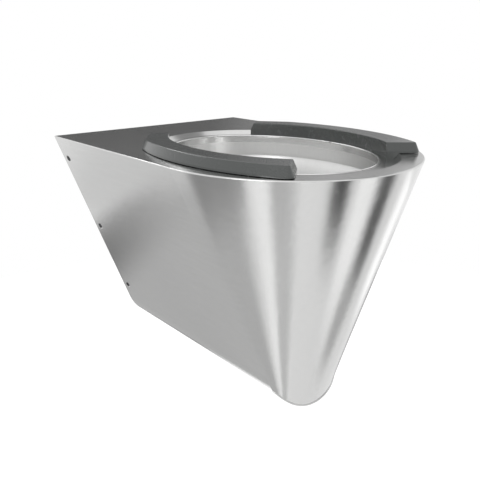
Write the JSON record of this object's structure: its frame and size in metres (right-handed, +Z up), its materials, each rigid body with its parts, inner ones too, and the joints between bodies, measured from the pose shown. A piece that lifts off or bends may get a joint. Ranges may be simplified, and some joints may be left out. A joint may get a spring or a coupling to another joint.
{
  "type": "wall-hung toilet",
  "caption": "Tapering stainless steel wall-hung toilet pan with a flat deck, a pressed bowl, fixed dark seat pads and side locking screws.",
  "frame": {"origin": "the wall plane, midway between the two wall bolts, 85 mm below the deck", "axes": "+X across the pan, +Y into the wall, +Z up; the user's side is -Y"},
  "size_m": [0.359, 0.5016, 0.3665],
  "materials": {
    "body_steel": "satin brushed stainless",
    "bowl_steel": "fine satin stainless",
    "pipe_steel": "pickled stainless tube",
    "bracket_steel": "mill finish stainless",
    "fixing_steel": "turned stainless",
    "pad_plastic": "fine grained anthracite",
    "seal_rubber": "matt black"
  },
  "bodies": {
    "root": {"side_sheet": "body_steel", "front_sheet": "body_steel", "top_deck": "body_steel", "mouth_ring": "body_steel", "bowl": "bowl_steel", "bowl_sump": "bowl_steel", "flush_rim": "bowl_steel", "flush_chamber": "pipe_steel", "flush_inlet_pipe": "pipe_steel", "flush_inlet_seal": "seal_rubber", "trap_lower_bend": "pipe_steel", "trap_upper_bend": "pipe_steel", "outlet_reducer": "pipe_steel", "outlet_pipe": "pipe_steel", "rear_plate": "bracket_steel", "wall_bracket": "bracket_steel", "side_screws": "fixing_steel", "weld_nuts": "fixing_steel", "bonding_tag": "bracket_steel", "seat_pad_left": "pad_plastic", "seat_pad_right": "pad_plastic", "pad_core_left": "fixing_steel", "pad_core_right": "fixing_steel", "pad_washers": "fixing_steel", "pad_nuts": "fixing_steel"}
  },
  "joints": []
}
